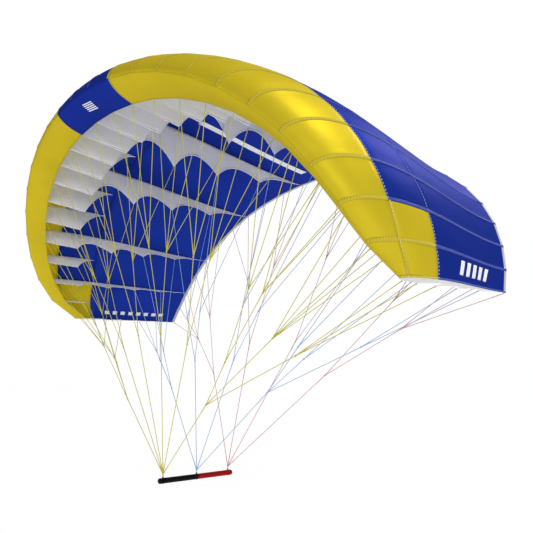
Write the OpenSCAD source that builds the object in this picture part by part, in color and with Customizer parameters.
// Single-skin kitesurf kite: canopy, ribs, bridle lines and control bar.
// +X runs to the right along the span, +Y from leading to trailing edge, +Z up.
// The origin is the middle of the control bar, on its axis.

/* [Canopy] */
// Width of the middle cell
cell_w = 212; // [200:1:220]
// Height of the canopy's middle above the bar
crown_z = 2062; // [1950:1:2150]
// How far the leading edge runs ahead of the bar in the middle
nose_y = 800; // [760:1:840]
// How far the trailing edge runs behind the bar in the middle
tail_y = 1160; // [1120:1:1200]
// Sweep of the leading edge towards the tips
nose_sweep = 575; // [540:1:600]
// Extra sweep of the leading edge in the last cell
tip_sweep = 150; // [130:1:170]
// Forward run of the trailing edge from middle to tip
tail_sweep = 380; // [350:1:400]
// Tail-down rigging angle of every rib, in degrees
rigging = 2.7; // [1:0.1:4]

/* [Cloth] */
// Thickness of the solids that stand for the cloth
cloth_t = 1; // [0.8:0.1:1.2]
// Gap between a rib's edge and the skin
rib_gap = 0.5; // [0.3:0.1:1]
// Width of the tape along the trailing edge
tape_w = 22; // [15:1:30]
// Camber of the top skin
camber = 0.287; // [0.25:0.001:0.3]
// How deep the arches between line peaks are cut, as a share of the rib's height
arch_cut = 0.46; // [0.3:0.01:0.6]

/* [Lines] */
// Diameter of the upper and middle bridle lines
bridle_d = 3.6; // [2:0.1:3.8]
// Diameter of the main lines
main_d = 4; // [2:0.1:4.2]
// Diameter of a knot
knot_d = 7; // [6:0.5:8]

/* [Control bar] */
// Length of the bar over its end caps
bar_l = 500; // [490:1:510]
// Diameter of the grips
grip_d = 30; // [28:0.5:32]
// Outer diameter of the tube under the grips
tube_d = 24; // [22:0.5:24]
// Distance from the bar's middle to each outer line collar
collar_y = 222; // [220:1:224]

/* [Hidden] */
// Ribs are numbered from the left tip, rib_01, to the right tip, rib_24.
function rib_name(i) = str("rib_", i < 9 ? "0" : "", i + 1);
cells = 23;
last = cells;
middle = 12;

// Rib numbers that run right back to the trailing edge; the others stop at the second seam.
full_ribs = [0, 2, 4, 7, 10, 13, 16, 19, 21, 23];

// Section of a rib, in shares of its chord: height rises from the chord line.
nose_mid = [0.034, -0.027];
peak_nose = [0.08, -0.046];
peak_a = [0.231, -0.067];
peak_b = [0.407, -0.07];
peak_c = [0.586, -0.058];
peak_d = [0.779, -0.039];
tail = [1, 0];
PEAKS = [peak_nose, peak_a, peak_b, peak_c, peak_d, tail];

function mix(p, q, s) = p + (q - p) * s;
function is_full(i) = len(search(i, full_ribs)) > 0;
// Place of rib i along the span, from -1 at the left tip to 1 at the right tip.
function at(i) = (2 * i - cells) / cells;
function arch(t) = 54 * t + 73 * pow(t, 3) - 37 * pow(t, 5);
function width(t) = cell_w * (1 - 0.34 * t * t - 0.12 * pow(t, 4));
function nose_at(t) = -nose_y + nose_sweep * t * t + tip_sweep * pow(t, 12);
function tail_at(t) = tail_y - tail_sweep * pow(abs(t), 1.5);
// First and second cross seams of the top skin, in shares of the chord.
function seam_1(t) = max(0.012, 0.23 - 0.085 * t * t - 0.145 * pow(t, 8));
function seam_2(t) = 0.39 - 0.21 * pow(t, 10);
function top(u) = camber * sqrt(u) * pow(1 - u, 1.72);

// Ribs stand on an arch that is stepped out from the middle cell, cell by cell.
function step_arch(i) = (arch(at(i)) + arch(at(i - 1))) / 2;
function step_w(i) = width((at(i) + at(i - 1)) / 2);
function arch_x(i) = i < middle ? -arch_x(last - i)
    : i == middle ? step_w(i) / 2
    : arch_x(i - 1) + step_w(i) * cos(step_arch(i));
function arch_z(i) = i < middle ? arch_z(last - i)
    : i == middle ? crown_z
    : arch_z(i - 1) - step_w(i) * sin(step_arch(i));

CHORD = [for (i = [0:last]) (tail_at(at(i)) - nose_at(at(i))) / cos(rigging)];
// Each rib's own axes: along its chord, and up through its thickness.
UP = [for (i = [0:last]) [sin(arch(at(i))), 0, cos(arch(at(i)))]];
ALONG = [for (i = [0:last]) [0, cos(rigging), 0] - sin(rigging) * UP[i]];
RISE = [for (i = [0:last]) [0, sin(rigging), 0] + cos(rigging) * UP[i]];
// The arch carries each rib at 30 % of its chord.
NOSE = [for (i = [0:last]) [arch_x(i), nose_at(at(i)), arch_z(i)]
    + 0.3 * CHORD[i] * sin(rigging) * UP[i]];

// A point given in millimetres along and above rib i's chord.
function on_rib(i, p) = NOSE[i] + p[0] * ALONG[i] + p[1] * RISE[i];

// Half of the gap that a rib's seam leaves between two panels.
seam_w = 0.4;
// Outer line of the cloth round rib i, from the nose peak over the top to the tail tape.
NOSE_END = 2;
FRONT_END = 6;
MIDDLE_END = 8;
REAR_END = 12;
function top_us(t, end_u) = concat(
    [for (k = [1:4]) seam_1(t) * k * k / 16],
    [for (k = [1:2]) seam_1(t) + (seam_2(t) - seam_1(t)) * k / 2],
    [for (k = [1:4]) seam_2(t) + (end_u - seam_2(t)) * k / 4]);
function outline(i) = CHORD[i] * concat([peak_nose, nose_mid, [0, 0]],
    [for (u = top_us(at(i), 1 - tape_w / CHORD[i])) [u, top(u)]]);
function inward(p, k) = let (d = p[min(k + 1, len(p) - 1)] - p[max(k - 1, 0)])
    [d[1], -d[0]] / norm(d);
function inset(p, by) = [for (k = [0:len(p) - 1]) p[k] + by * inward(p, k)];
OUTER = [for (i = [0:last]) let (p = outline(i)) [for (q = p) on_rib(i, q)]];
INNER = [for (i = [0:last]) let (p = inset(outline(i), cloth_t)) [for (q = p) on_rib(i, q)]];

// Closed panel between two ribs: outer and inner points in pairs, left rib then right rib.
module panel(left_out, left_in, right_out, right_in) {
    n = len(left_out);
    pts = concat([for (k = [0:n - 1]) each [left_out[k], left_in[k]]],
        [for (k = [0:n - 1]) each [right_out[k], right_in[k]]]);
    m = 2 * n;
    e = 2 * (n - 1);
    faces = concat(
        [for (k = [0:2:e - 2]) each [[k, k + 2, m + k + 2], [k, m + k + 2, m + k]]],
        [for (k = [1:2:e - 1]) each [[k, m + k, m + k + 2], [k, m + k + 2, k + 2]]],
        [for (k = [0:2:e - 2]) each [[k + 2, k, k + 1], [k + 2, k + 1, k + 3]]],
        [for (k = [m:2:m + e - 2]) each [[k, k + 2, k + 3], [k, k + 3, k + 1]]],
        [[0, m, m + 1], [0, m + 1, 1]],
        [[e, m + e + 1, m + e], [e, e + 1, m + e + 1]]);
    polyhedron(pts, faces);
}
// The same points on the way from rib i to rib j, a seam's width short of rib i.
function beside(points, i, j, a, b) = let (e = seam_w / norm(points[j][a] - points[i][a]))
    [for (k = [a:b]) mix(points[i][k], points[j][k], e)];
// Cells are separate panels that meet at the ribs' seams.
module skin(first_cell, last_cell, a, b)
    for (i = [first_cell:last_cell])
        panel(beside(OUTER, i, i + 1, a, b), beside(INNER, i, i + 1, a, b),
            beside(OUTER, i + 1, i, a, b), beside(INNER, i + 1, i, a, b));

// Free lower edge of a rib, from tail to nose.
function arch_edge(p, q) = [for (s = [0.1:0.1:0.95]) let (m = mix(p, q, s))
    [m[0], mix(m[1], top(m[0]), arch_cut * 4 * s * (1 - s))]];
function tail_edge(i) = let (u = seam_2(at(i)) - 0.01, q = [u, top(u) - 0.004])
    [for (s = [1:-0.125:0.1]) [mix(peak_a[0], q[0], s), mix(peak_a[1], q[1], 1 - pow(1 - s, 1.8))]];
rib_tail = [0.985, -0.0005];
function lower_edge(i) = is_full(i)
    ? concat([rib_tail], arch_edge(rib_tail, peak_d), [peak_d], arch_edge(peak_d, peak_c), [peak_c],
        arch_edge(peak_c, peak_b), [peak_b], arch_edge(peak_b, peak_a), [peak_a])
    : concat(tail_edge(i), [peak_a]);
function upper_edge(i) = let (p = inset(outline(i), cloth_t + rib_gap))
    [for (k = [0:is_full(i) ? REAR_END - 1 : MIDDLE_END - 1]) p[k]];
module rib(i)
    translate(NOSE[i]) rotate([0, arch(at(i)), 0]) rotate([-rigging, 0, 0])
        rotate([90, 0, 90]) linear_extrude(cloth_t, center = true)
            polygon(concat(upper_edge(i), CHORD[i] * lower_edge(i)));

// Bridle knots of the right half; the left half is its mirror image.
front_1 = [125, -330, 800];
front_2 = [350, -305, 740];
front_3 = [420, -230, 430];
front_1_nose = [190, -455, 1262];
front_1_belly = [190, -345, 1245];
front_2_nose = [552, -408, 1166];
front_2_belly = [557, -312, 1160];
front_3_inner = [578, -228, 646];
front_3_nose = [865, -305, 985];
front_3_belly = [850, -208, 972];
front_3_outer = [880, -172, 757];
front_3_tip = [925, -67, 677];
centre_1 = [199, 110, 660];
centre_2 = [487, 122, 485];
centre_1_inner = [221, 157, 971];
centre_1_outer = [367, 158, 935];
centre_2_inner = [681, 172, 726];
centre_2_outer = [726, 173, 664];
centre_2_tip = [1000, 310, 722];
rear_1 = [229, 564, 775];
rear_2 = [548, 499, 573];
rear_1_inner = [264, 805, 1315];
rear_1_outer = [519, 775, 1237];
rear_2_inner = [897, 704, 991];
rear_2_tip = [978, 657, 826];

// Upper fans: a knot, then the peaks that it carries as [peak number, rib counted from the tip].
FRONT_FANS = [
    [front_1_nose, [[0, 9], [0, 10], [0, 11]]],
    [front_1_belly, [[1, 9], [1, 10], [1, 11], [2, 10]]],
    [front_2_nose, [[0, 6], [0, 7], [0, 8]]],
    [front_2_belly, [[1, 6], [1, 7], [1, 8], [2, 7]]],
    [front_3_nose, [[0, 3], [0, 4], [0, 5]]],
    [front_3_belly, [[1, 3], [1, 4], [1, 5], [2, 4]]],
    [front_3_outer, [[0, 1], [0, 2], [1, 1], [1, 2], [2, 2]]],
    [front_3_tip, [[0, 0], [1, 0], [2, 0]]]];
CENTRE_FANS = [
    [centre_1_inner, [[3, 10], [4, 10]]],
    [centre_1_outer, [[3, 7], [4, 7]]],
    [centre_2_inner, [[3, 4], [4, 4]]],
    [centre_2_outer, [[3, 2], [4, 2]]],
    [centre_2_tip, [[3, 0], [4, 0]]]];
REAR_FANS = [
    [rear_1_inner, [[5, 9], [5, 10], [5, 11]]],
    [rear_1_outer, [[5, 6], [5, 7], [5, 8]]],
    [rear_2_inner, [[5, 3], [5, 4], [5, 5]]],
    [rear_2_tip, [[5, 0], [5, 1], [5, 2]]]];
// Middle fans: a knot, then the knots above it.
FRONT_FORKS = [
    [front_1, [front_1_nose, front_1_belly]],
    [front_2, [front_2_nose, front_2_belly]],
    [front_3, [front_3_inner, front_3_outer, front_3_tip]],
    [front_3_inner, [front_3_nose, front_3_belly]]];
CENTRE_FORKS = [
    [centre_1, [centre_1_inner, centre_1_outer]],
    [centre_2, [centre_2_inner, centre_2_outer, centre_2_tip]]];
REAR_FORKS = [
    [rear_1, [rear_1_inner, rear_1_outer]],
    [rear_2, [rear_2_inner, rear_2_tip]]];

// Points where the main lines gather over the bar's collars.
gather_z = 35.5;
knot_l = 8;
knot_stop = knot_l / 2 + 2.5;
loop_r = 3.6;
loop_wire = 0.8;
loop_stop = 10.5;
// Loops on the trailing edge hang this much lower, clear of its tape.
tail_drop = 2;

function peak_point(j, peak) = on_rib(j, CHORD[j] * PEAKS[peak]) * [[-1, 0, 0], [0, 1, 0], [0, 0, 1]];
module both_sides() { children(); mirror([1, 0, 0]) children(); }
// Stands its children's Z axis along the way from a to b, starting at a.
module towards(a, b) {
    d = b - a;
    translate(a) rotate([0, acos(d[2] / norm(d)), atan2(d[1], d[0])]) children();
}
module line(a, b, stop, d) towards(a, b) cylinder(h = norm(b - a) - stop, d = d, $fn = 8);
module knot(a, b) towards(a, b) cylinder(h = knot_l, d = knot_d, center = true, $fn = 8);
module fan(from, to, stop, d) {
    knot(from, to[0]);
    for (p = to) line(from, p, stop, d);
}
module upper_fans(fans, drop = 0)
    both_sides() for (f = fans)
        fan(f[0], [for (k = f[1]) peak_point(k[1], k[0])], loop_stop + drop, bridle_d);
module forks(forks)
    both_sides() for (f = forks) fan(f[0], f[1], knot_stop, bridle_d);
module mains(y, knots)
    fan([0, y, gather_z], [for (k = knots) each [k, [-k[0], k[1], k[2]]]], knot_stop, main_d);
module loop(at, from, drop)
    towards(at, from) translate([0, 0, loop_r + 2 * loop_wire + drop]) rotate([90, 0, 0])
        rotate_extrude($fn = 24) translate([loop_r, 0]) circle(loop_wire, $fn = 16);
module loops(fans, drop = 0)
    both_sides() for (f = fans) for (k = f[1]) loop(peak_point(k[1], k[0]), f[0], drop);

// Control bar, along Y.
bore_gap = 0.1;
wall = 2;
collar_w = 10;
side_gap = 0.5;
collar_d = grip_d + 2;
cap_y = collar_y + collar_w / 2 + side_gap;
module along_y() rotate([-90, 0, 0]) children();
module sleeve(y0, y1, d) {
    r = d / 2;
    b = tube_d / 2 + bore_gap;
    soft = 1.5;
    along_y() rotate_extrude($fn = 96)
        polygon([[b, y0], [r - soft, y0], [r, y0 + soft], [r, y1 - soft], [r - soft, y1], [b, y1]]);
}
lug_t = 4.4;
lug_w = 8;
lug_top = 23;
eye_z = 19.5;
eye_r = 2.2;
module collar(y) {
    difference() {
        union() {
            translate([0, y, 0]) sleeve(-collar_w / 2, collar_w / 2, collar_d);
            translate([-lug_w / 2, y - lug_t / 2, tube_d / 2 + 1]) cube([lug_w, lug_t, lug_top - tube_d / 2 - 1]);
        }
        translate([0, y, eye_z]) along_y() cylinder(h = 3 * collar_w, r = eye_r, center = true, $fn = 48);
        for (s = [-1, 1]) translate([-lug_w / 2 - 1, y + s * (lug_t / 2 + 3) - 3, grip_d / 2 - 0.2])
            cube([lug_w + 2, 6, 12]);
    }
}
ring_r = 4.4;
ring_wire = 1;
module leader(y)
    translate([0, y, eye_z + ring_r]) rotate([0, 90, 0])
        rotate_extrude($fn = 48) translate([ring_r, 0]) circle(ring_wire, $fn = 24);
module end_cap(s) {
    r = grip_d / 2;
    end = bar_l / 2;
    plug_r = tube_d / 2 - wall - bore_gap;
    round_r = 9;
    mirror([0, s < 0 ? 1 : 0, 0]) along_y() rotate_extrude($fn = 96) union() {
        translate([0, cap_y]) square([r, end - round_r - cap_y]);
        translate([0, end - round_r - 0.01]) square([r - round_r, round_r + 0.01]);
        intersection() {
            translate([r - round_r, end - round_r]) circle(round_r, $fn = 64);
            translate([r - round_r, end - round_r]) square(round_r);
        }
        translate([0, cap_y - 25]) square([plug_r, 26]);
    }
}

yellow = "gold";
blue = "mediumblue";
cloth_grey = "silver";

module front_skin_left() color(yellow) skin(0, 9, NOSE_END, FRONT_END);
module front_skin_centre() color(blue) skin(10, 12, NOSE_END, FRONT_END);
module front_skin_right() color(yellow) skin(13, 22, NOSE_END, FRONT_END);
module middle_skin_left_tip() color(yellow) skin(0, 1, FRONT_END, MIDDLE_END);
module middle_skin() color(blue) skin(2, 20, FRONT_END, MIDDLE_END);
module middle_skin_right_tip() color(yellow) skin(21, 22, FRONT_END, MIDDLE_END);
module rear_skin_left() color(blue) skin(0, 9, MIDDLE_END, REAR_END);
module rear_skin_centre() color(blue) skin(10, 12, MIDDLE_END, REAR_END);
module rear_skin_right() color(blue) skin(13, 22, MIDDLE_END, REAR_END);
module nose_skin_left() color(yellow) skin(0, 9, 0, NOSE_END);
module nose_skin_centre() color(blue) skin(10, 12, 0, NOSE_END);
module nose_skin_right() color(yellow) skin(13, 22, 0, NOSE_END);

// Tape folded over the trailing edge, a little thicker than the cloth.
module tail_tape() color(cloth_grey)
    for (i = [0:cells - 1]) {
        l = tape_line(i, i + 1);
        r = tape_line(i + 1, i);
        panel(l[0], l[1], r[0], r[1]);
    }
function tape_at(i) = let (o = OUTER[i][REAR_END], n = INNER[i][REAR_END])
    [[o, on_rib(i, [CHORD[i], 0.5])], [n + (n - o) / 2, on_rib(i, [CHORD[i], -1])]];
function tape_line(i, j) = let (p = tape_at(i), q = tape_at(j), e = seam_w / norm(q[0][0] - p[0][0]))
    [for (s = [0, 1]) [for (k = [0, 1]) mix(p[s][k], q[s][k], e)]];

module front_upper_lines() color("goldenrod") upper_fans(FRONT_FANS);
module front_middle_lines() color("goldenrod") forks(FRONT_FORKS);
module front_main_lines() color("goldenrod") mains(-collar_y, [front_1, front_2, front_3]);
module centre_upper_lines() color("cornflowerblue") upper_fans(CENTRE_FANS);
module centre_middle_lines() color("cornflowerblue") forks(CENTRE_FORKS);
module centre_main_lines() color("cornflowerblue") mains(0, [centre_1, centre_2]);
module rear_upper_lines() color("indianred") upper_fans(REAR_FANS, tail_drop);
module rear_middle_lines() color("indianred") forks(REAR_FORKS);
module rear_main_lines() color("indianred") mains(collar_y, [rear_1, rear_2]);
module line_loops() color(cloth_grey) {
    loops(FRONT_FANS);
    loops(CENTRE_FANS);
    loops(REAR_FANS, tail_drop);
}

module bar_tube() color("lightgrey")
    along_y() difference() {
        cylinder(h = 2 * cap_y - 2 * side_gap, d = tube_d, center = true, $fn = 96);
        cylinder(h = 3 * cap_y, d = tube_d - 2 * wall, center = true, $fn = 96);
    }
module front_grip() color("black")
    sleeve(-collar_y + collar_w / 2 + side_gap, -collar_w / 2 - side_gap, grip_d);
module rear_grip() color("darkred")
    sleeve(collar_w / 2 + side_gap, collar_y - collar_w / 2 - side_gap, grip_d);
module front_end_cap() color("black") end_cap(-1);
module rear_end_cap() color("darkred") end_cap(1);
module front_collar() color("black") collar(-collar_y);
module centre_collar() color("black") collar(0);
module rear_collar() color("darkred") collar(collar_y);
module front_leader() color("goldenrod") leader(-collar_y);
module centre_leader() color("cornflowerblue") leader(0);
module rear_leader() color("indianred") leader(collar_y);

front_skin_left();
front_skin_centre();
front_skin_right();
middle_skin_left_tip();
middle_skin();
middle_skin_right_tip();
rear_skin_left();
rear_skin_centre();
rear_skin_right();
nose_skin_left();
nose_skin_centre();
nose_skin_right();
tail_tape();
line_loops();
front_upper_lines();
front_middle_lines();
front_main_lines();
centre_upper_lines();
centre_middle_lines();
centre_main_lines();
rear_upper_lines();
rear_middle_lines();
rear_main_lines();
bar_tube();
front_grip();
rear_grip();
front_end_cap();
rear_end_cap();
front_collar();
centre_collar();
rear_collar();
front_leader();
centre_leader();
rear_leader();
for (i = [0:last])
    color(cloth_grey) rib(i);
